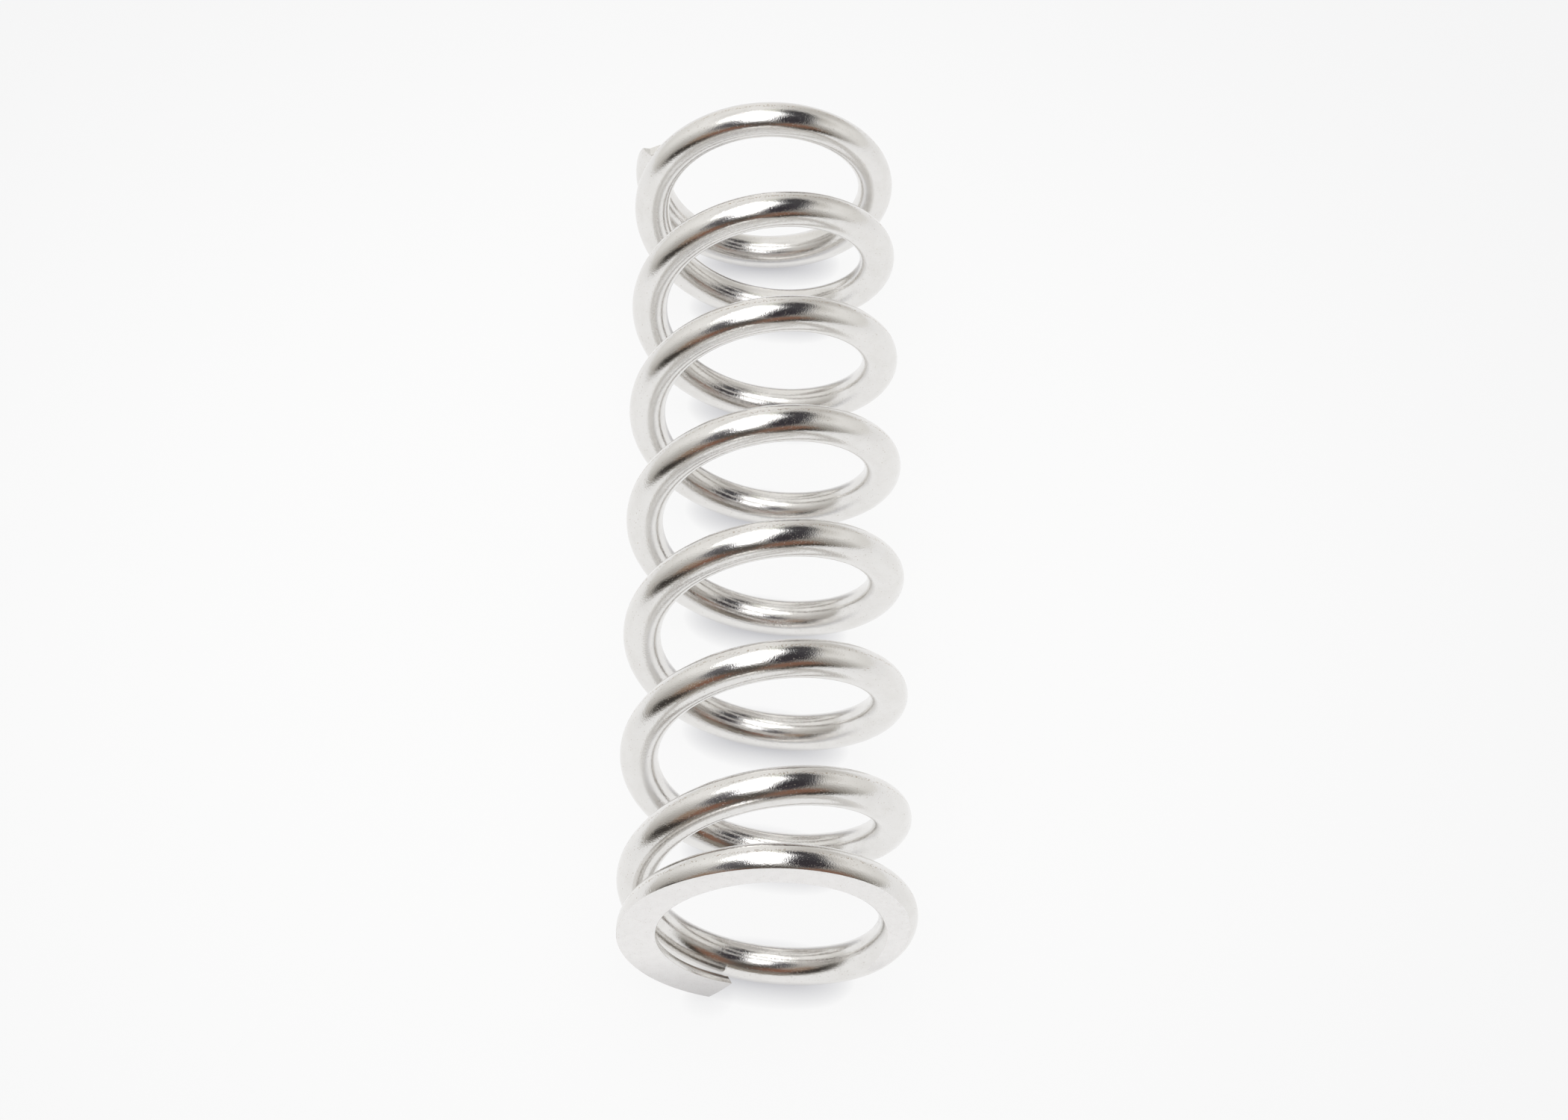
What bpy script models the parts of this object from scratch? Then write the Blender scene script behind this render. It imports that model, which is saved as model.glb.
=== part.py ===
"""Helical compression spring of round plated steel wire, lying on its side.

The spring's axis runs along +Y, from the front end at -Y to the rear end at +Y, and +Z is up.
The origin is on the surface under the spring's middle.  The wire is right-hand wound, its two
end coils are closed, and both ends are ground flat and square to the axis.

The wire of a spring is one piece that gives all along its length.  Here it is built as two
end coils and twelve half coils, each a rigid section in an object of its own.  Each section is
the parent of the one behind it and slides on it along the axis, so together they squeeze
and stretch as the wire does.  The sections meet on the level plane through the axis, with a
small gap, so that they pass each other as they slide.

Angles are in degrees round the axis, clockwise from the top as seen from the front, and grow
towards the rear.
"""

import math

import bmesh
import bpy
import numpy as np
from mathutils import Matrix

MM = 0.001
TURN = 360.0

# Driving dimensions
OUTER_DIAMETER = 25.0 * MM
WIRE_DIAMETER = 3.3 * MM
FREE_LENGTH = 83.2 * MM
FRONT_TIP_ANGLE = 199.3
REAR_TIP_ANGLE = 3174.8

# Closed ends.  tip_depth is how far the wire's centre lies inside the ground face at the tip.
# closed_leads are pairs of an angle from the tip and the wire's advance per turn there.  From
# lift_start the lead rises to that of the active coils over lift_span.
FRONT_END = {
    "tip_depth": -0.4 * MM,
    "closed_leads": (
        (0.0, 3.3 * MM),
        (140.0, 3.3 * MM),
        (190.0, 1.3 * MM),
        (275.0, 1.3 * MM),
        (310.0, 9.0 * MM),
    ),
    "lift_start": 420.0,
    "lift_span": 60.0,
}
REAR_END = {
    "tip_depth": 0.0,
    "closed_leads": ((0.0, 3.3 * MM),),
    "lift_start": 269.0,
    "lift_span": 138.0,
}

# Sections of the wire
FIRST_JOINT_ANGLE = 630.0
HALF_COIL = 180.0
HALF_COILS = 12
SECTION_GAP = 0.3 * MM

# Fineness of the model
FACETS_PER_TURN = 24
LEAD_STEP = 0.5
OVERSHOOT = 6.0
BEVEL_RESOLUTION = 2
SHARP_ANGLE = math.radians(60.0)

# Sizes that follow
WIRE_RADIUS = WIRE_DIAMETER / 2
MEAN_RADIUS = (OUTER_DIAMETER - WIRE_DIAMETER) / 2
FACET = TURN / FACETS_PER_TURN
LAST_JOINT_ANGLE = FIRST_JOINT_ANGLE + HALF_COILS * HALF_COIL
CUTTER_WIDTH = 1.5 * OUTER_DIAMETER
JOINT_CUTTER_LENGTH = WIRE_DIAMETER + 1.6 * MM

PARTS_COLLECTION = "compression_spring"
CUTTERS_COLLECTION = "compression_spring_cutters"
WIRE_COLOUR = (0.72, 0.70, 0.68, 1.0)
WIRE_ROUGHNESS = 0.16


def clear_scene():
    for obj in list(bpy.data.objects):
        bpy.data.objects.remove(obj, do_unlink=True)


def new_collection(name):
    collection = bpy.data.collections.new(name)
    bpy.context.scene.collection.children.link(collection)
    return collection


def plated_steel(name):
    material = bpy.data.materials.new(name)
    material.use_nodes = True
    shader = material.node_tree.nodes["Principled BSDF"]
    shader.inputs["Base Color"].default_value = WIRE_COLOUR
    shader.inputs["Metallic"].default_value = 1.0
    shader.inputs["Roughness"].default_value = WIRE_ROUGHNESS
    return material


# The wire's path


def closed_lead(end, angle):
    angles, leads = zip(*end["closed_leads"])
    return np.interp(angle, angles, leads)


def lift(end, angle):
    """How far the lead has risen from closed, 0, to active, 1, at this angle from the tip."""
    share = np.clip((angle - end["lift_start"]) / end["lift_span"], 0.0, 1.0)
    return share * share * (3.0 - 2.0 * share)


def wire_advance():
    """Angles along the wire, and how far its centre lies behind the front face at each.

    The lead of the active coils is what makes the whole wire as long as FREE_LENGTH.
    """
    steps = round((REAR_TIP_ANGLE - FRONT_TIP_ANGLE) / LEAD_STEP)
    angles = np.linspace(FRONT_TIP_ANGLE, REAR_TIP_ANGLE, steps + 1)
    middles = (angles[1:] + angles[:-1]) / 2
    turns = np.diff(angles) / TURN
    from_front = middles - FRONT_TIP_ANGLE
    from_rear = REAR_TIP_ANGLE - middles
    active = lift(FRONT_END, from_front) * lift(REAR_END, from_rear)
    front = closed_lead(FRONT_END, from_front)
    rear = closed_lead(REAR_END, from_rear)
    closed_steps = np.where(from_front < from_rear, front, rear) * (1.0 - active) * turns
    whole = FREE_LENGTH - FRONT_END["tip_depth"] - REAR_END["tip_depth"]
    active_lead = (whole - closed_steps.sum()) / (active * turns).sum()
    all_steps = closed_steps + active_lead * active * turns
    advances = FRONT_END["tip_depth"] + np.concatenate(([0.0], np.cumsum(all_steps)))
    return angles, advances


WIRE_ANGLES, WIRE_ADVANCES = wire_advance()


def advance_at(angle):
    return float(np.interp(angle, WIRE_ANGLES, WIRE_ADVANCES))


def path_point(angle, origin_advance):
    """A point of the faceted path, in the axis's frame: local Z runs to the rear, local -Y is up.

    The middle of each facet lies at the mean radius, and one facet is straight down, so the
    spring rests on its facets and its outer diameter is true.
    """
    from_middle = (angle + FACET / 2) % FACET - FACET / 2
    radius = MEAN_RADIUS / math.cos(math.radians(from_middle))
    turned = math.radians(angle)
    return (
        radius * math.sin(turned),
        -radius * math.cos(turned),
        advance_at(angle) - origin_advance,
    )


def path_angles(start, end):
    """The ends, and the corners of the faceted path between them."""
    first = math.ceil((start - FACET / 2) / FACET)
    corners = [FACET / 2 + FACET * k for k in range(first, first + int((end - start) / FACET) + 2)]
    return [start] + [corner for corner in corners if start < corner < end] + [end]


# Solids


def wire_curve(name, start, end, origin_advance):
    """A round wire along the path as a curve object, its local origin on the spring's axis."""
    data = bpy.data.curves.new(name, "CURVE")
    data.dimensions = "3D"
    data.twist_mode = "Z_UP"
    data.fill_mode = "FULL"
    data.bevel_depth = WIRE_RADIUS
    data.bevel_resolution = BEVEL_RESOLUTION
    data.use_fill_caps = True
    points = [path_point(angle, origin_advance) for angle in path_angles(start, end)]
    spline = data.splines.new("POLY")
    spline.points.add(len(points) - 1)
    for point, place in zip(spline.points, points):
        point.co = (*place, 1.0)
    return bpy.data.objects.new(name, data)


def as_mesh_object(curve, collection):
    """A closed mesh object in place of a curve object, with its caps welded."""
    bpy.context.view_layer.update()
    evaluated = curve.evaluated_get(bpy.context.evaluated_depsgraph_get())
    mesh = bpy.data.meshes.new_from_object(evaluated)
    shape = bmesh.new()
    shape.from_mesh(mesh)
    bmesh.ops.remove_doubles(shape, verts=shape.verts, dist=0.001 * MM)
    bmesh.ops.recalc_face_normals(shape, faces=shape.faces)
    shape.to_mesh(mesh)
    shape.free()
    name = curve.name
    curve.name = name + "_curve"
    obj = bpy.data.objects.new(name, mesh)
    mesh.name = name
    collection.objects.link(obj)
    obj.parent = curve.parent
    obj.matrix_world = curve.matrix_world
    bpy.data.objects.remove(curve, do_unlink=True)
    return obj


def coil_section(name, start, end, parent, parent_advance, origin_advance, collection):
    """A length of the wire whose object follows its parent and stands on the axis."""
    curve = wire_curve(name, start, end, origin_advance)
    collection.objects.link(curve)
    curve.parent = parent
    curve.location = (0.0, 0.0, origin_advance - parent_advance)
    obj = as_mesh_object(curve, collection)
    obj.data.materials.append(plated_steel(name + "_steel"))
    obj.data.shade_smooth()
    obj.data.set_sharp_from_angle(angle=SHARP_ANGLE)
    return obj


def box_cutter(name, low, high, parent, collection):
    """A box between two corners in the axis's frame, used only to cut."""
    size = [b - a for a, b in zip(low, high)]
    middle = [(a + b) / 2 for a, b in zip(low, high)]
    mesh = bpy.data.meshes.new(name)
    shape = bmesh.new()
    bmesh.ops.create_cube(shape, size=1.0, matrix=Matrix.Diagonal((*size, 1.0)))
    shape.to_mesh(mesh)
    shape.free()
    obj = bpy.data.objects.new(name, mesh)
    collection.objects.link(obj)
    obj.parent = parent
    obj.location = middle
    obj.hide_render = True
    obj.display_type = "WIRE"
    return obj


def cut(obj, cutter):
    modifier = obj.modifiers.new(cutter.name, "BOOLEAN")
    modifier.operation = "DIFFERENCE"
    modifier.solver = "EXACT"
    modifier.object = cutter


def joint_cutter(name, joint_angle, above, axis, cutters):
    """Cuts an end coil off on the level plane at its joint, and spares the coil's other strands."""
    middle = advance_at(joint_angle)
    levels = (-OUTER_DIAMETER / 2, SECTION_GAP / 2) if above else (-SECTION_GAP / 2, OUTER_DIAMETER / 2)
    low = (-CUTTER_WIDTH / 2, levels[0], middle - JOINT_CUTTER_LENGTH / 2)
    high = (0.0, levels[1], middle + JOINT_CUTTER_LENGTH / 2)
    return box_cutter(name, low, high, axis, cutters)


# The spring


def spring_axis(collection):
    """An empty on the axis at the front face, with local Z along the axis to the rear."""
    axis = bpy.data.objects.new("spring_axis", None)
    collection.objects.link(axis)
    axis.location = (0.0, -FREE_LENGTH / 2, OUTER_DIAMETER / 2)
    axis.rotation_euler = (math.radians(-90.0), 0.0, 0.0)
    return axis


def section_names():
    """Half coils in order from the front: each coil has a top half, then a bottom half."""
    return [f"coil_{2 + k // 2}_{'bottom' if k % 2 else 'top'}" for k in range(HALF_COILS)]


def front_end_coil(axis, parts, cutters):
    end_angle = FIRST_JOINT_ANGLE + OVERSHOOT
    coil = coil_section("front_end_coil", FRONT_TIP_ANGLE, end_angle, axis, 0.0, 0.0, parts)
    half = CUTTER_WIDTH / 2
    low = (-half, -half, -2 * WIRE_DIAMETER)
    high = (half, half, 0.0)
    cut(coil, box_cutter("front_grinder", low, high, axis, cutters))
    cut(coil, joint_cutter("front_joint_cutter", FIRST_JOINT_ANGLE, True, axis, cutters))
    return coil


def half_coils(axis, first_parent, parts, cutters):
    """The active coils, each half the parent of the next.  Returns the last half and its advance."""
    half = CUTTER_WIDTH / 2
    gap = SECTION_GAP / 2
    behind = FREE_LENGTH + half
    below = box_cutter("below_axis_cutter", (-half, -gap, -half), (half, half, behind), axis, cutters)
    above = box_cutter("above_axis_cutter", (-half, -half, -half), (half, gap, behind), axis, cutters)
    parent = first_parent
    parent_advance = 0.0
    for k, name in enumerate(section_names()):
        start = FIRST_JOINT_ANGLE + k * HALF_COIL
        origin = advance_at(start)
        ends = (start - OVERSHOOT, start + HALF_COIL + OVERSHOOT)
        section = coil_section(name, *ends, parent, parent_advance, origin, parts)
        cut(section, above if k % 2 else below)
        parent = section
        parent_advance = origin
    return parent, parent_advance


def rear_end_coil(axis, parent, parent_advance, parts, cutters):
    start = LAST_JOINT_ANGLE - OVERSHOOT
    origin = advance_at(LAST_JOINT_ANGLE)
    coil = coil_section("rear_end_coil", start, REAR_TIP_ANGLE, parent, parent_advance, origin, parts)
    half = CUTTER_WIDTH / 2
    low = (-half, -half, FREE_LENGTH)
    high = (half, half, FREE_LENGTH + 2 * WIRE_DIAMETER)
    cut(coil, box_cutter("rear_grinder", low, high, axis, cutters))
    cut(coil, joint_cutter("rear_joint_cutter", LAST_JOINT_ANGLE, False, axis, cutters))
    return coil


def compression_spring():
    clear_scene()
    parts = new_collection(PARTS_COLLECTION)
    cutters = new_collection(CUTTERS_COLLECTION)
    axis = spring_axis(parts)
    front = front_end_coil(axis, parts, cutters)
    last_half, last_advance = half_coils(axis, front, parts, cutters)
    rear_end_coil(axis, last_half, last_advance, parts, cutters)


compression_spring()
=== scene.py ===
"""Looks for a helical compression spring of bright plated steel wire, lying on its side.

The wire is one smooth surface, worked out along the same path as the CAD sections.  It is cut into
short closed pieces, and its two end coils ride their bodies.  Lengths are in metres and angles along
the wire in degrees round the axis, clockwise from the top as seen from the front, unless a name says
otherwise.
"""

import math

import bpy
import numpy as np
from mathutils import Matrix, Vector


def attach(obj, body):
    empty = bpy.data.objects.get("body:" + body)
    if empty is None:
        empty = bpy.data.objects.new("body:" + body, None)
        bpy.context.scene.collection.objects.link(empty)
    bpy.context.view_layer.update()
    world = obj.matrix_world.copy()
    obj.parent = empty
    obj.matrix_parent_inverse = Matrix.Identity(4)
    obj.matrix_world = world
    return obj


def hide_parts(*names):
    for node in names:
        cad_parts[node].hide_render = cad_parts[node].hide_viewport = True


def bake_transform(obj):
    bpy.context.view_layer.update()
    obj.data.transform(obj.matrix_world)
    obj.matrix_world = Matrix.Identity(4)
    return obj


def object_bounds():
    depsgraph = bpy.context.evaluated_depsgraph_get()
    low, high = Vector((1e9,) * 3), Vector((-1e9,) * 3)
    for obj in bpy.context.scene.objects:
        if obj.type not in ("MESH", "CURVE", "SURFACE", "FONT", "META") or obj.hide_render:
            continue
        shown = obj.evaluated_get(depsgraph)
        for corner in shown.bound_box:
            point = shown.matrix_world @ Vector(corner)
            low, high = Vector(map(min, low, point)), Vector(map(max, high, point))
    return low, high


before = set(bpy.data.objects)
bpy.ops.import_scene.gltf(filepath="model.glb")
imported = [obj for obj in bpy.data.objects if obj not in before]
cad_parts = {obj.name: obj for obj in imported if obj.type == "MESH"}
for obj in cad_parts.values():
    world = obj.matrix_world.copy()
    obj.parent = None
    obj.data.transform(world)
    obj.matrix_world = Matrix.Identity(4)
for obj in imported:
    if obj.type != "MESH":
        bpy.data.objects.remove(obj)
cad_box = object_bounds()

MM = 0.001
TURN = 360.0
TURN_RADIANS = 2.0 * math.pi

# The spring, as the CAD has it
LOW, HIGH = cad_box
OUTER_DIAMETER = HIGH.z - LOW.z
FREE_LENGTH = HIGH.y - LOW.y
FRONT_FACE = LOW.y
AXIS_HEIGHT = (LOW.z + HIGH.z) / 2
WIRE_RADIUS = 1.65 * MM
MEAN_RADIUS = OUTER_DIAMETER / 2 - WIRE_RADIUS
FRONT_TIP_ANGLE = 199.3
REAR_TIP_ANGLE = 3174.8
# For each end: how far behind its face the wire's centre starts; the lead, which is the advance a
# turn, of its closed coil at angles from the tip; and where the lead rises to the open coils' one.
# The front leads are finer than the CAD's, which gives the ground flat its real width all round.
FRONT_END = {
    "tip_depth": -0.4 * MM,
    "closed_leads": (
        (0.0, 3.3 * MM),
        (50.0, 3.3 * MM),
        (75.0, 4.8 * MM),
        (105.0, 4.8 * MM),
        (130.0, 2.6 * MM),
        (150.0, 1.2 * MM),
        (165.0, 0.1 * MM),
        (200.0, 0.0 * MM),
        (230.0, 2.2 * MM),
        (275.0, 2.4 * MM),
        (310.0, 9.0 * MM),
    ),
    "lift_start": 420.0,
    "lift_span": 60.0,
}
REAR_END = {
    "tip_depth": 0.0,
    "closed_leads": ((0.0, 3.3 * MM),),
    "lift_start": 269.0,
    "lift_span": 138.0,
}
NODES = ["front_end_coil"]
NODES += [f"coil_{2 + k // 2}_{'bottom' if k % 2 else 'top'}" for k in range(12)]
NODES += ["rear_end_coil"]
HALF_COIL = 180.0
FIRST_JOINT_ANGLE = 630.0
JOINT_ANGLES = [FIRST_JOINT_ANGLE + HALF_COIL * k for k in range(len(NODES) - 1)]

# The end coil in front is a little wider across than the others and stands a little to the right.
FRONT_COIL_SHIFT = 0.24 * MM
FRONT_COIL_GROWTH = 0.16 * MM
FRONT_COIL_SPAN = 430.0
# It is not quite round either: where from its tip it bends in or out, over what angle, and how far.
FRONT_COIL_BENDS = ((132.0, 27.0, -0.24 * MM), (212.0, 31.0, 0.48 * MM))

# The wire was cut off at a slant: its outer side ends this many degrees sooner than its middle.
FRONT_CUT = {"angle": 201.7, "skew": 2.5}
REAR_CUT = {"angle": 3173.0, "skew": 9.5}
# The slant spreads into the wire over this angle, and this share of it is gone at this depth.
SKEW_SPAN = 20.0
SKEW_FADE = 0.7
SKEW_DEPTH = 0.45 * MM
# In front, the wire reaches this many degrees further with each wire radius behind the face.
FRONT_OVERHANG = 1.5

# Fineness of the path and the mesh: degrees along the wire, and steps round its section
LEAD_STEP = 0.5
RING_STEP = 2.0
FLAT_STEPS = 8
SIDE_STEPS = 16
PIECES_PER_JOINT = 10
# The break between a ground flat and the round of the wire
EDGE_ROUNDING = 0.045 * MM
# Half the angle that a flat's points take where the face just grazes the wire and where it is
# clear of it, and over how many wire radii of clearance they spread from one to the other
LEAST_FLAT = math.radians(5.0)
UNGROUND_FLAT = math.radians(30.0)
FLAT_FADE = 0.2

# The order of the materials on every piece
WIRE = 0
GROUND = 1
SHEARED = 2


def smoothstep(share):
    share = np.clip(share, 0.0, 1.0)
    return share * share * (3.0 - 2.0 * share)


# The wire's path


def closed_lead(end, angle):
    """The lead of an end's closed coil at this angle from the tip."""
    angles, leads = zip(*end["closed_leads"])
    return np.interp(angle, angles, leads)


def lift(end, angle):
    """How far the lead has risen from closed, 0, to active, 1, at this angle from the tip."""
    return smoothstep((angle - end["lift_start"]) / end["lift_span"])


def wire_path():
    """Angles along the wire, how far its centre lies behind the front face, and its lead there."""
    steps = round((REAR_TIP_ANGLE - FRONT_TIP_ANGLE) / LEAD_STEP)
    angles = np.linspace(FRONT_TIP_ANGLE, REAR_TIP_ANGLE, steps + 1)
    middles = (angles[1:] + angles[:-1]) / 2
    turns = np.diff(angles) / TURN
    from_front = middles - FRONT_TIP_ANGLE
    from_rear = REAR_TIP_ANGLE - middles
    active = lift(FRONT_END, from_front) * lift(REAR_END, from_rear)
    front = closed_lead(FRONT_END, from_front)
    rear = closed_lead(REAR_END, from_rear)
    closed = np.where(from_front < from_rear, front, rear) * (1.0 - active)
    whole = FREE_LENGTH - FRONT_END["tip_depth"] - REAR_END["tip_depth"]
    active_lead = (whole - (closed * turns).sum()) / (active * turns).sum()
    leads = closed + active_lead * active
    advances = FRONT_END["tip_depth"] + np.concatenate(([0.0], np.cumsum(leads * turns)))
    return angles, advances, middles, leads


PATH_ANGLES, PATH_ADVANCES, LEAD_ANGLES, PATH_LEADS = wire_path()


def advance_at(angle):
    """How far the wire's centre lies behind the front face."""
    return np.interp(angle, PATH_ANGLES, PATH_ADVANCES)


def slope_at(angle):
    """The wire's slope against the plane square to the axis, in radians."""
    leads = np.interp(angle, LEAD_ANGLES, PATH_LEADS)
    return np.arctan(leads / (TURN_RADIANS * MEAN_RADIUS))


def front_coil_share(angle):
    """How much of the front coil's shift and growth the wire has: 1 at its tip, 0 past the coil."""
    return 1.0 - smoothstep((angle - FRONT_TIP_ANGLE) / FRONT_COIL_SPAN)


def bent_radius(angle):
    """The radius that the wire's centre runs at."""
    from_tip = angle - FRONT_TIP_ANGLE
    radius = np.full_like(from_tip, MEAN_RADIUS)
    for place, span, height in FRONT_COIL_BENDS:
        radius = radius + height * np.exp(-(((from_tip - place) / span) ** 2))
    return radius


def centre_at(angle):
    """Points on the wire's centre line, for an array of angles."""
    share = front_coil_share(angle)
    turned = np.radians(angle)
    radius = bent_radius(angle)
    x = (radius + FRONT_COIL_GROWTH * share) * np.sin(turned) + FRONT_COIL_SHIFT * share
    y = FRONT_FACE + advance_at(angle)
    z = AXIS_HEIGHT + radius * np.cos(turned)
    return np.stack([x, y, z], -1)


def outward_at(angle):
    """Directions straight out from the axis."""
    turned = np.radians(angle)
    return np.stack([np.sin(turned), np.zeros_like(turned), np.cos(turned)], -1)


def along_at(angle):
    """Directions round the axis, towards the rear end of the wire."""
    turned = np.radians(angle)
    return np.stack([np.cos(turned), np.zeros_like(turned), -np.sin(turned)], -1)


# The wire's surface


def flat_half_angle(depth, slope):
    """Half the angle that a ground face takes of the wire's section, its centre this deep inside.

    Where the wire clears the face, the points kept for a flat spread out round the wire again.
    """
    ratio = depth * np.cos(slope) / WIRE_RADIUS
    ground = np.arccos(np.clip(ratio, -1.0, 1.0))
    spread = smoothstep((ratio - 1.0) / FLAT_FADE)
    return np.maximum(ground, LEAST_FLAT + (UNGROUND_FLAT - LEAST_FLAT) * spread)


def section_points(angles):
    """For each ring, how far out its points lie, their angles round the wire, and the slope there.

    Angle 0 faces the front and a quarter turn faces outward.  The points run over the front flat,
    the outer side, the rear flat and the inner side.
    """
    slope = slope_at(angles)
    depth = advance_at(angles)
    front = flat_half_angle(depth, slope)[:, None]
    rear = flat_half_angle(FREE_LENGTH - depth, slope)[:, None]
    rounding = EDGE_ROUNDING / WIRE_RADIUS
    across = np.linspace(-1.0, 1.0, FLAT_STEPS + 1)[None, :]
    down = np.linspace(0.0, 1.0, SIDE_STEPS + 1)[None, :]

    front_reach = across * (np.sin(front) - rounding)
    rear_reach = across * (np.sin(rear) - rounding)
    outer = front + rounding + down * (math.pi - rear - front - 2.0 * rounding)
    front_psi = np.arcsin(np.clip(front_reach, -1.0, 1.0))
    rear_psi = math.pi + np.arcsin(np.clip(rear_reach, -1.0, 1.0))
    radial = np.concatenate([front_reach, np.sin(outer), -rear_reach, -np.sin(outer[:, ::-1])], 1)
    psi = np.concatenate([front_psi, outer, rear_psi, TURN_RADIANS - outer[:, ::-1]], 1)
    return radial * WIRE_RADIUS, psi, slope[:, None]


def tip_slants(angles):
    """How many degrees ahead the outermost and the rearmost points are placed near the tips."""
    front = 1.0 - smoothstep((angles - FRONT_CUT["angle"]) / SKEW_SPAN)
    rear = 1.0 - smoothstep((REAR_CUT["angle"] - angles) / SKEW_SPAN)
    outermost = FRONT_CUT["skew"] * front - REAR_CUT["skew"] * rear
    rearmost = -FRONT_OVERHANG * front
    return outermost[:, None], rearmost[:, None]


def wire_rings(angles):
    """Places, normals and ground-face flags of the rings at these angles, and straight places.

    The straight places are in millimetres on the wire before it was wound, along its length first.
    """
    radial, psi, slope = section_points(angles)
    half_depth = np.sqrt(np.maximum(WIRE_RADIUS**2 - radial**2, 0.0))
    axial = -half_depth * np.sign(np.cos(psi)) / np.cos(slope)
    inside = np.clip(advance_at(angles)[:, None] + axial, 0.0, FREE_LENGTH)
    behind = np.minimum(inside, FREE_LENGTH - inside)
    outermost, rearmost = tip_slants(angles)
    kept_skew = 1.0 - SKEW_FADE * np.clip(behind / SKEW_DEPTH, 0.0, 1.0)
    skewed = outermost * radial / WIRE_RADIUS * kept_skew
    placed = angles[:, None] + skewed + rearmost * behind / WIRE_RADIUS
    outward = outward_at(placed)
    along = along_at(placed)
    points = centre_at(placed) + radial[..., None] * outward
    depths = advance_at(placed) + axial
    on_front = depths < 0.0
    on_rear = depths > FREE_LENGTH
    points[..., 1] = FRONT_FACE + np.clip(depths, 0.0, FREE_LENGTH)
    normals = np.sin(psi)[..., None] * outward + (np.cos(psi) * np.sin(slope))[..., None] * along
    normals[..., 1] -= np.cos(psi) * np.cos(slope)
    normals[on_front] = (0.0, -1.0, 0.0)
    normals[on_rear] = (0.0, 1.0, 0.0)
    length = np.radians(placed) * MEAN_RADIUS
    straight = np.stack([length, WIRE_RADIUS * np.cos(psi), WIRE_RADIUS * np.sin(psi)], -1) / MM
    return points, normals, on_front | on_rear, straight


def cap_normal(angle, sign):
    """Which way a piece's end looks, with the slant that the cut ends have."""
    skews = {cut["angle"]: cut["skew"] for cut in (FRONT_CUT, REAR_CUT)}
    lean = math.radians(skews.get(angle, 0.0)) * MEAN_RADIUS / WIRE_RADIUS
    return sign * along_at(np.array(angle)) + lean * outward_at(np.array(angle))


def wire_piece(name, start, end, node, materials):
    """A closed length of the wire between two angles, which stands for part of a CAD node."""
    count = math.ceil((end - start) / RING_STEP)
    angles = np.linspace(start, end, count + 1)
    points, normals, ground, straight = wire_rings(angles)
    rings, around = points.shape[:2]

    def at(i, j):
        return i * around + j % around

    across_flat = ground & np.roll(ground, -1, axis=1)
    faces = []
    kinds = []
    for i in range(rings - 1):
        for j in range(around):
            faces.append((at(i, j), at(i + 1, j), at(i + 1, j + 1), at(i, j + 1)))
            kinds.append(GROUND if across_flat[i, j] and across_flat[i + 1, j] else WIRE)
    faces.append(tuple(range(around)))
    kinds.append(SHEARED if start == FRONT_CUT["angle"] else WIRE)
    faces.append(tuple(at(rings - 1, j) for j in reversed(range(around))))
    kinds.append(SHEARED if end == REAR_CUT["angle"] else WIRE)

    mesh = bpy.data.meshes.new(name)
    mesh.from_pydata(points.reshape(-1, 3).tolist(), [], faces)
    mesh.polygons.foreach_set("material_index", kinds)
    mesh.polygons.foreach_set("use_smooth", [True] * len(faces))
    for material in materials:
        mesh.materials.append(material)
    attribute = mesh.attributes.new("straight", "FLOAT_VECTOR", "POINT")
    attribute.data.foreach_set("vector", straight.reshape(-1).astype(np.float32))
    point_normals = normals.reshape(-1, 3)
    corner_normals = [point_normals[v] for face in faces[:-2] for v in face]
    corner_normals += [cap_normal(start, -1.0)] * len(faces[-2])
    corner_normals += [cap_normal(end, 1.0)] * len(faces[-1])
    mesh.validate()
    mesh.normals_split_custom_set([tuple(n / np.linalg.norm(n)) for n in corner_normals])
    piece = bpy.data.objects.new(name, mesh)
    bpy.context.scene.collection.objects.link(piece)
    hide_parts(node)
    return piece


def blend_piece(piece):
    """Bakes the piece's transform into its mesh; it rides no body."""
    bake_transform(piece)


def build_wire(materials):
    """The two end coils ride their bodies, and everything between them is cut into short pieces."""
    blend_start = JOINT_ANGLES[0] - HALF_COIL / 2
    blend_end = JOINT_ANGLES[-1] + HALF_COIL / 2
    front = wire_piece("front_end_coil_closed", FRONT_CUT["angle"], blend_start, NODES[0], materials)
    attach(front, NODES[0])
    counts = dict.fromkeys(NODES, 0)
    step = HALF_COIL / PIECES_PER_JOINT
    for joint in range(len(JOINT_ANGLES)):
        for k in range(PIECES_PER_JOINT):
            start = blend_start + joint * HALF_COIL + k * step
            node = NODES[joint] if k < PIECES_PER_JOINT // 2 else NODES[joint + 1]
            counts[node] += 1
            piece = wire_piece(f"{node}_length_{counts[node]}", start, start + step, node, materials)
            blend_piece(piece)
    rear = wire_piece("rear_end_coil_closed", blend_end, REAR_CUT["angle"], NODES[-1], materials)
    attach(rear, NODES[-1])


# Materials


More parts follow.
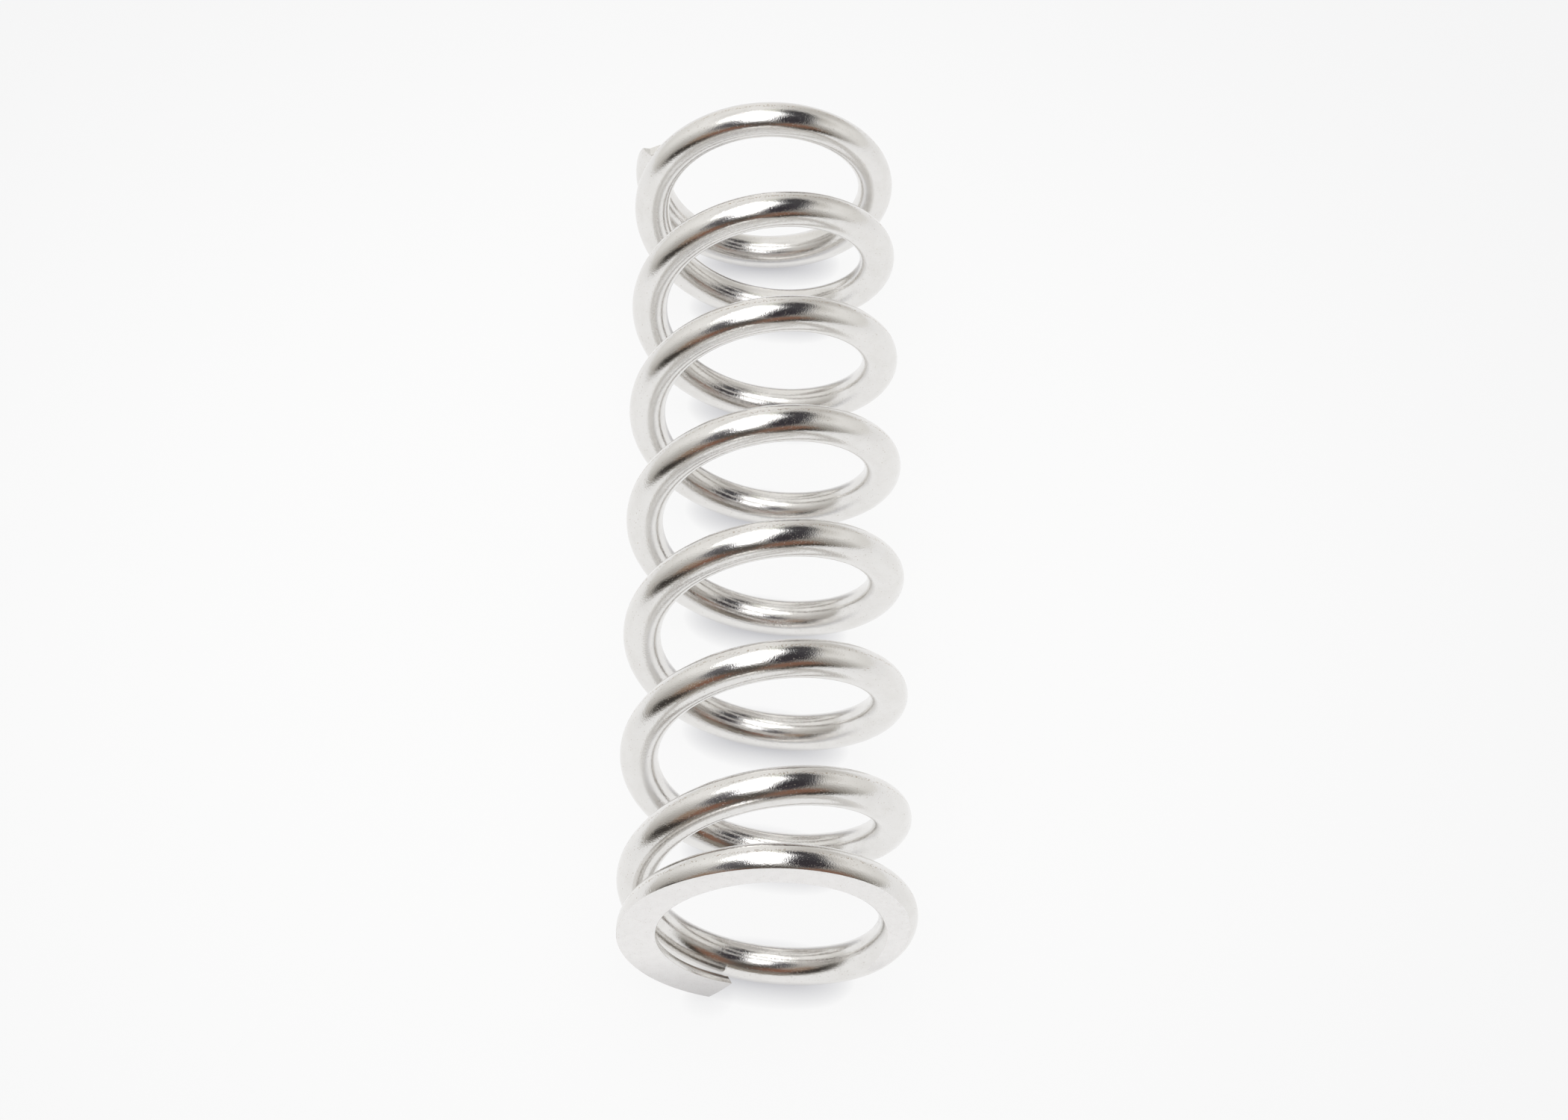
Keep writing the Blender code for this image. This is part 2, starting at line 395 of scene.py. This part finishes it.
class Nodes:
    """Shorthand for building a node tree."""

    def __init__(self, tree):
        self.tree = tree

    def add(self, kind, inputs=None, **settings):
        node = self.tree.nodes.new(kind)
        for key, value in settings.items():
            setattr(node, key, value)
        for key, value in (inputs or {}).items():
            self.put(node.inputs[key], value)
        return node

    def put(self, socket, value):
        if isinstance(value, bpy.types.NodeSocket):
            self.tree.links.new(value, socket)
        elif socket.type == "RGBA":
            socket.default_value = (*value, 1.0)
        else:
            socket.default_value = value

    def math(self, operation, a, b=0.0, c=0.0):
        return self.add("ShaderNodeMath", {0: a, 1: b, 2: c}, operation=operation).outputs[0]

    def scaled(self, place, scale):
        return self.add("ShaderNodeVectorMath", {0: place, 1: scale}, operation="MULTIPLY").outputs[0]

    def noise(self, place, grains, detail, roughness):
        """Noise with this many grains a unit of length along each axis."""
        inputs = {"Scale": 1.0, "Detail": detail, "Roughness": roughness}
        inputs["Vector"] = self.scaled(place, grains)
        return self.add("ShaderNodeTexNoise", inputs).outputs["Fac"]

    def bump(self, distance, height):
        inputs = {"Strength": 1.0, "Distance": distance, "Height": height}
        return self.add("ShaderNodeBump", inputs).outputs["Normal"]

    def ramp(self, value, low, high, low_out=0.0, high_out=1.0):
        node = self.add(
            "ShaderNodeMapRange",
            {"Value": value, "From Min": low, "From Max": high, "To Min": low_out, "To Max": high_out},
            interpolation_type="SMOOTHSTEP",
        )
        return node.outputs["Result"]

    def mix(self, share, a, b, blend="MIX"):
        node = self.add("ShaderNodeMix", data_type="RGBA", blend_type=blend)
        self.put(node.inputs[0], share)
        self.put(node.inputs[6], a)
        self.put(node.inputs[7], b)
        return node.outputs[2]

    def angles_of(self, direction):
        """Azimuth and elevation of a direction, in degrees."""
        split = self.add("ShaderNodeSeparateXYZ", {0: direction})
        azimuth = self.math("DEGREES", self.math("ARCTAN2", split.outputs["X"], split.outputs["Y"]))
        elevation = self.math("DEGREES", self.math("ARCSINE", split.outputs["Z"]))
        return azimuth, elevation


def new_material(name):
    material = bpy.data.materials.new(name)
    material.use_nodes = True
    nodes = Nodes(material.node_tree)
    shader = material.node_tree.nodes["Principled BSDF"]
    shader.inputs["Metallic"].default_value = 1.0
    return material, nodes, shader


def finish_material(nodes, shader, colour, roughness, normal):
    nodes.put(shader.inputs["Base Color"], colour)
    nodes.put(shader.inputs["Roughness"], roughness)
    nodes.put(shader.inputs["Normal"], normal)


# Each texture has its grains a millimetre along three axes, then the noise's detail and roughness.
# On plated wire and cut ends the axes run along the wire, to its front and outward.
PEBBLES = ((9.0, 9.0, 9.0), 2.0, 0.5)
DIE_LINES = ((0.2, 6.0, 6.0), 2.0, 0.6)
SPECKS = ((6.0, 11.0, 11.0), 1.0, 0.5)
SPECK_CLUSTERS = ((0.25, 0.5, 0.5), 2.0, 0.6)
STAINS = ((0.5, 0.8, 0.8), 3.0, 0.6)
GRINDING_GRAIN = ((12.0, 12.0, 12.0), 2.0, 0.6)
GROUND_MOTTLE = ((1.2, 1.2, 1.2), 3.0, 0.6)
GROUND_SPECKS = ((10.0, 10.0, 10.0), 1.0, 0.5)
TEARING = ((6.0, 3.0, 9.0), 3.0, 0.6)
# The noise levels between which a roughness goes from its lower to its upper value, and between
# which a clean colour gives way to a stained one
ROUGHNESS_LEVELS = (0.3, 0.7)
STAIN_LEVELS = (0.35, 0.7)

# Plated wire
DIE_LINE_WEIGHT = 0.07
WIRE_BUMP = 0.011 * MM
# Degrees round the wire from its front side, outward: the middle of the rubbed line, its half
# width, and how far from the middle it is still full
RUBBED_LINE_ANGLE = 101.0
RUBBED_LINE_WIDTH = 6.0
RUBBED_LINE_CORE = 2.0
# How much more easily specks come on the rubbed line and where they cluster
RUBBED_LINE_PITTING = 0.14
CLUSTER_PITTING = 0.10
WIRE_PIT_LEVELS = (0.76, 0.82)
CLEAN_PLATING = (0.815, 0.804, 0.788)
STAINED_PLATING = (0.785, 0.772, 0.752)
WIRE_PIT_COLOUR = (0.55, 0.48, 0.40)
WIRE_ROUGHNESS = (0.06, 0.10)


def bright_wire():
    """Plated wire: nearly a mirror, finely pebbled, with faint die lines along it.

    A broken line of specks runs along it, where the drawn wire was rubbed.
    """
    material, nodes, shader = new_material("bright_plated_wire")
    place = nodes.add("ShaderNodeAttribute", attribute_name="straight").outputs["Vector"]
    pebbles = nodes.noise(place, *PEBBLES)
    die_lines = nodes.noise(place, *DIE_LINES)
    specks = nodes.noise(place, *SPECKS)
    clusters = nodes.noise(place, *SPECK_CLUSTERS)
    stains = nodes.noise(place, *STAINS)
    split = nodes.add("ShaderNodeSeparateXYZ", {0: place})
    around = nodes.math("DEGREES", nodes.math("ARCTAN2", split.outputs["Z"], split.outputs["Y"]))
    from_line = nodes.math("ABSOLUTE", nodes.math("SUBTRACT", around, RUBBED_LINE_ANGLE))
    rubbed = nodes.ramp(from_line, RUBBED_LINE_WIDTH, RUBBED_LINE_CORE)
    clustered = nodes.math("MULTIPLY", clusters, CLUSTER_PITTING)
    pitting = nodes.math("MULTIPLY_ADD", rubbed, RUBBED_LINE_PITTING, clustered)
    pits = nodes.ramp(nodes.math("ADD", specks, pitting), *WIRE_PIT_LEVELS)
    height = nodes.math("MULTIPLY_ADD", die_lines, DIE_LINE_WEIGHT, pebbles)
    height = nodes.math("SUBTRACT", height, pits)
    colour = nodes.mix(nodes.ramp(stains, *STAIN_LEVELS), CLEAN_PLATING, STAINED_PLATING)
    colour = nodes.mix(pits, colour, WIRE_PIT_COLOUR)
    roughness = nodes.ramp(stains, *ROUGHNESS_LEVELS, *WIRE_ROUGHNESS)
    finish_material(nodes, shader, colour, roughness, nodes.bump(WIRE_BUMP, height))
    return material


# Ground faces
GROUND_BUMP = 0.007 * MM
MOTTLE_PITTING = 0.16
GROUND_PIT_LEVELS = (0.74, 0.84)
CLEAN_GROUND = (0.95, 0.942, 0.935)
MOTTLED_GROUND = (0.925, 0.917, 0.91)
GROUND_PIT_COLOUR = (0.62, 0.56, 0.49)
GROUND_ROUGHNESS = (0.45, 0.6)
# Painted shade: the low part of a ground face is darkened in its colour, standing in for the shaded
# floor close in front of it that it looks at.
LOW_FACE_PAINTED_SHADE = (0.70, 0.695, 0.70)
LOW_FACE_HEIGHT_MM = 10.0
NO_SHADE = (1.0, 1.0, 1.0)


def ground_face():
    """Ground steel: matt, fine grained and mottled, with sparse pits, and painted shade that makes it
    greyer low down.
    """
    material, nodes, shader = new_material("ground_steel_face")
    place = nodes.scaled(nodes.add("ShaderNodeTexCoord").outputs["Object"], (1.0 / MM,) * 3)
    grain = nodes.noise(place, *GRINDING_GRAIN)
    mottle = nodes.noise(place, *GROUND_MOTTLE)
    specks = nodes.noise(place, *GROUND_SPECKS)
    pits = nodes.ramp(nodes.math("MULTIPLY_ADD", mottle, MOTTLE_PITTING, specks), *GROUND_PIT_LEVELS)
    colour = nodes.mix(nodes.ramp(mottle, *STAIN_LEVELS), CLEAN_GROUND, MOTTLED_GROUND)
    colour = nodes.mix(pits, colour, GROUND_PIT_COLOUR)
    # Painted shade: the colour is darkened towards the bottom of the face.
    height = nodes.add("ShaderNodeSeparateXYZ", {0: place}).outputs["Z"]
    shade = nodes.mix(nodes.ramp(height, 0.0, LOW_FACE_HEIGHT_MM), LOW_FACE_PAINTED_SHADE, NO_SHADE)
    colour = nodes.mix(1.0, colour, shade, "MULTIPLY")
    roughness = nodes.ramp(grain, *ROUGHNESS_LEVELS, *GROUND_ROUGHNESS)
    finish_material(nodes, shader, colour, roughness, nodes.bump(GROUND_BUMP, grain))
    return material


# Cut ends
TEARING_BUMP = 0.05 * MM
DULL_CUT = (0.74, 0.73, 0.71)
PALE_CUT = (0.90, 0.89, 0.87)
CUT_ROUGHNESS = (0.35, 0.55)


def sheared_tip():
    """The end of the wire, left dull and torn where it was cut off."""
    material, nodes, shader = new_material("sheared_wire_end")
    place = nodes.add("ShaderNodeAttribute", attribute_name="straight").outputs["Vector"]
    tearing = nodes.noise(place, *TEARING)
    colour = nodes.mix(tearing, DULL_CUT, PALE_CUT)
    roughness = nodes.ramp(tearing, *ROUGHNESS_LEVELS, *CUT_ROUGHNESS)
    finish_material(nodes, shader, colour, roughness, nodes.bump(TEARING_BUMP, tearing))
    return material


# The studio

# What stands round the spring, painted on a dome of this radius that only reflections see.  Each
# shape has its azimuth from +Y towards +X and its elevation, in degrees, then half its width and
# height, how soft its edge is, and its colour.  A shape covers those before it.
DOME_RADIUS = 220 * MM
STUDIO_SHAPES = {
    "light_far": (-8, 10, 20, 20, 0.8, (0.92, 0.905, 0.88)),
    "shade_left": (-130, 15, 38, 38, 0.85, (0.40, 0.38, 0.35)),
    "haze_left": (-32, 55, 26, 9, 0.9, (0.84, 0.83, 0.81)),
    "haze_near": (122, 39, 15, 14, 0.9, (0.66, 0.64, 0.61)),
    "shade_right": (149, 16, 32, 32, 0.8, (0.23, 0.21, 0.18)),
    "shade_near": (180, 8, 26, 9, 0.5, (0.28, 0.25, 0.21)),
    "shade_far": (28, 28, 18, 26, 0.8, (0.58, 0.56, 0.53)),
    "ceiling_near": (180, 66, 22, 12, 0.3, (2.2, 2.2, 2.25)),
    "haze_right": (66, 43, 32, 10, 0.9, (0.64, 0.62, 0.585)),
    "gap_far": (14, 60, 12, 8, 0.8, (0.72, 0.72, 0.64)),
    "gap_far_right": (33, 56, 12, 12, 0.6, (0.22, 0.21, 0.205)),
    "gap_right_1": (45, 56, 15, 13, 0.5, (0.06, 0.057, 0.06)),
    "gap_right_2": (62, 59, 18, 13, 0.5, (0.07, 0.067, 0.072)),
    "gap_right_3": (89, 62, 22, 13, 0.45, (0.06, 0.057, 0.062)),
    "gap_right_4": (112, 60, 20, 15, 0.4, (0.055, 0.052, 0.058)),
    "gap_right_5": (134, 55, 19, 18, 0.3, (0.045, 0.04, 0.046)),
    "gap_right_6": (150, 48, 12, 15, 0.4, (0.048, 0.042, 0.048)),
    "gap_left_1": (-115, 64, 12, 6, 0.6, (0.45, 0.45, 0.43)),
    "gap_left_2": (-136, 57, 13, 13, 0.5, (0.15, 0.145, 0.155)),
    "gap_left_3": (-149, 54, 13, 13, 0.4, (0.14, 0.134, 0.142)),
    "gap_left_4": (-162, 46, 15, 9, 0.4, (0.10, 0.095, 0.098)),
    "body": (180, 31, 22, 16, 0.35, (0.10, 0.09, 0.08)),
    "arm_left": (-159, 26, 18, 9, 0.5, (0.25, 0.125, 0.085)),
    "forearm_left": (-142, 29, 12, 9, 0.6, (0.32, 0.23, 0.17)),
    "arm_right": (151, 22, 16, 11, 0.5, (0.24, 0.13, 0.09)),
    "sleeve_left": (-139, 13, 24, 9, 0.4, (0.05, 0.045, 0.04)),
    "sleeve_right": (147, 8, 13, 6, 0.5, (0.05, 0.045, 0.038)),
}
# The walls brighten up to this elevation, and the ceiling begins between these.
WALL_TOP = 50.0
CEILING_EDGE = (58.0, 64.0)
LOW_LIGHT = (0.80, 0.79, 0.765)
HIGH_LIGHT = (0.965, 0.955, 0.935)
CEILING_LIGHT = (2.2, 2.2, 2.2)
# The floor's own glow, which is painted light: in a pool round the spring, beyond the pool, and a
# painted contact shadow where the wire touches it
FLOOR_GLOW = (0.881, 0.881, 0.882)
FLOOR_EDGE_GLOW = (0.820, 0.820, 0.824)
FLOOR_PAINTED_CONTACT_SHADOW = (0.40, 0.40, 0.43)
CONTACT_REACH = 2.2 * MM
# The share of the studio's light that the floor gives back
FLOOR_COLOUR = (0.076, 0.076, 0.0755)
FLOOR_REACH = 2.0
FLOOR_CORNERS = ((-1, -1), (1, -1), (1, 1), (-1, 1))
FLOOR_GAP = 0.02 * MM
# The middle of the painted pool of light, and the distances from it between which it fades
POOL_CENTRE = (-10 * MM, 0.0, 0.0)
POOL_REACH = (20 * MM, 130 * MM)
BACKDROP_COLOUR = (0.92, 0.92, 0.925)
BACKDROP_RADIUS = 1.9


def plain_light(nodes, elevation):
    """Pale walls that brighten upward, under a wide bright ceiling."""
    walls = nodes.mix(nodes.ramp(elevation, 0.0, WALL_TOP), LOW_LIGHT, HIGH_LIGHT)
    return nodes.mix(nodes.ramp(elevation, *CEILING_EDGE), walls, CEILING_LIGHT)


def studio_light():
    """The plain light that falls on the floor."""
    world = bpy.data.worlds.new("studio")
    bpy.context.scene.world = world
    world.use_nodes = True
    world.cycles.sampling_method = "NONE"
    nodes = Nodes(world.node_tree)
    direction = nodes.add("ShaderNodeTexCoord").outputs["Generated"]
    elevation = nodes.angles_of(direction)[1]
    background = world.node_tree.nodes["Background"]
    nodes.put(background.inputs["Color"], plain_light(nodes, elevation))
    background.inputs["Strength"].default_value = 1.0


DOME_ROWS = 16
DOME_COLUMNS = 64


def dome(name, radius):
    """An open half sphere over the spring, standing on the floor."""
    points = []
    for row in range(DOME_ROWS + 1):
        up = math.pi / 2 * row / DOME_ROWS
        across = radius * math.cos(up)
        for column in range(DOME_COLUMNS):
            turned = TURN_RADIANS * column / DOME_COLUMNS
            points.append((across * math.cos(turned), across * math.sin(turned), radius * math.sin(up)))
    faces = []
    for row in range(DOME_ROWS):
        for column in range(DOME_COLUMNS):
            first = row * DOME_COLUMNS + column
            second = row * DOME_COLUMNS + (column + 1) % DOME_COLUMNS
            faces.append((first, second, second + DOME_COLUMNS, first + DOME_COLUMNS))
    mesh = bpy.data.meshes.new(name)
    mesh.from_pydata(points, [], faces)
    obj = bpy.data.objects.new(name, mesh)
    bpy.context.scene.collection.objects.link(obj)
    obj.visible_diffuse = False
    obj.visible_transmission = False
    obj.visible_shadow = False
    return obj


def glowing_material(name):
    """A material that only glows and isn't sampled as a lamp."""
    material = bpy.data.materials.new(name)
    material.use_nodes = True
    material.cycles.emission_sampling = "NONE"
    tree = material.node_tree
    tree.nodes.remove(tree.nodes["Principled BSDF"])
    nodes = Nodes(tree)
    glow = nodes.add("ShaderNodeEmission", {"Strength": 1.0})
    tree.links.new(glow.outputs[0], tree.nodes["Material Output"].inputs["Surface"])
    return material, nodes, glow


def reflected_studio():
    """The room as the wire mirrors it."""
    obj = dome("reflected_studio", DOME_RADIUS)
    obj.visible_camera = False
    material, nodes, glow = glowing_material("studio_surroundings")
    place = nodes.add("ShaderNodeTexCoord").outputs["Object"]
    direction = nodes.add("ShaderNodeVectorMath", {0: place}, operation="NORMALIZE").outputs[0]
    azimuth, elevation = nodes.angles_of(direction)
    colour = plain_light(nodes, elevation)
    for at, up, half_width, half_height, softness, tint in STUDIO_SHAPES.values():
        sideways = nodes.math("WRAP", nodes.math("SUBTRACT", azimuth, at), TURN / 2, -TURN / 2)
        across = nodes.math("DIVIDE", sideways, half_width)
        upward = nodes.math("DIVIDE", nodes.math("SUBTRACT", elevation, up), half_height)
        squares = nodes.math("MULTIPLY_ADD", across, across, nodes.math("MULTIPLY", upward, upward))
        from_middle = nodes.math("SQRT", squares)
        share = nodes.ramp(from_middle, 1.0 + softness, 1.0 - softness)
        colour = nodes.mix(share, colour, tint)
    nodes.put(glow.inputs["Color"], colour)
    obj.data.materials.append(material)


def floor():
    """White paper that glows and takes some of the studio's light, with a painted pool of light round
    the spring and a painted contact shadow where the wire touches it.
    """
    mesh = bpy.data.meshes.new("floor")
    corners = [(x * FLOOR_REACH, y * FLOOR_REACH, LOW.z - FLOOR_GAP) for x, y in FLOOR_CORNERS]
    mesh.from_pydata(corners, [], [(0, 1, 2, 3)])
    obj = bpy.data.objects.new("floor", mesh)
    bpy.context.scene.collection.objects.link(obj)
    material, nodes, shader = new_material("white_floor")
    material.cycles.emission_sampling = "NONE"
    shader.inputs["Metallic"].default_value = 0.0
    shader.inputs["Specular IOR Level"].default_value = 0.0
    nodes.put(shader.inputs["Base Color"], FLOOR_COLOUR)
    shader.inputs["Roughness"].default_value = 1.0
    place = nodes.add("ShaderNodeTexCoord").outputs["Object"]
    measure = nodes.add("ShaderNodeVectorMath", {0: place, 1: POOL_CENTRE}, operation="DISTANCE")
    from_pool = measure.outputs["Value"]
    # Painted light: the floor's glow is brighter in a pool round the spring.
    glow = nodes.mix(nodes.ramp(from_pool, *POOL_REACH), FLOOR_GLOW, FLOOR_EDGE_GLOW)
    # Painted contact shadow: the glow darkens where the wire is close above the floor.
    openness = nodes.add("ShaderNodeAmbientOcclusion", {"Distance": CONTACT_REACH}, samples=8)
    glow = nodes.mix(openness.outputs["AO"], FLOOR_PAINTED_CONTACT_SHADOW, glow)
    nodes.put(shader.inputs["Emission Color"], glow)
    shader.inputs["Emission Strength"].default_value = 1.0
    mesh.materials.append(material)


def backdrop():
    """A pale backdrop behind everything, which only the camera sees."""
    obj = dome("backdrop", BACKDROP_RADIUS)
    obj.visible_glossy = False
    material, nodes, glow = glowing_material("pale_backdrop")
    nodes.put(glow.inputs["Color"], BACKDROP_COLOUR)
    obj.data.materials.append(material)


CAMERA_PLACE = (1.015 * MM, -160.6 * MM, 247.37 * MM)
# Degrees down from level, and degrees to the right of +Y
CAMERA_PITCH = 56.295
CAMERA_YAW = 0.2705
# Lens and sensor width in the millimetres that cameras are given in, and clipping in metres
CAMERA_LENS = 72.15
SENSOR_WIDTH = 36.0
CLIP_START = 0.01
CLIP_END = 10.0


def camera():
    """Looks down on the spring from beyond its front end."""
    data = bpy.data.cameras.new("camera")
    data.sensor_width = SENSOR_WIDTH
    data.lens = CAMERA_LENS
    data.clip_start = CLIP_START
    data.clip_end = CLIP_END
    obj = bpy.data.objects.new("camera", data)
    bpy.context.scene.collection.objects.link(obj)
    obj.location = CAMERA_PLACE
    obj.rotation_euler = (math.radians(90.0 - CAMERA_PITCH), 0.0, math.radians(-CAMERA_YAW))
    bpy.context.scene.camera = obj


bpy.context.scene.view_settings.view_transform = "Standard"
build_wire([bright_wire(), ground_face(), sheared_tip()])
studio_light()
reflected_studio()
floor()
backdrop()
camera()
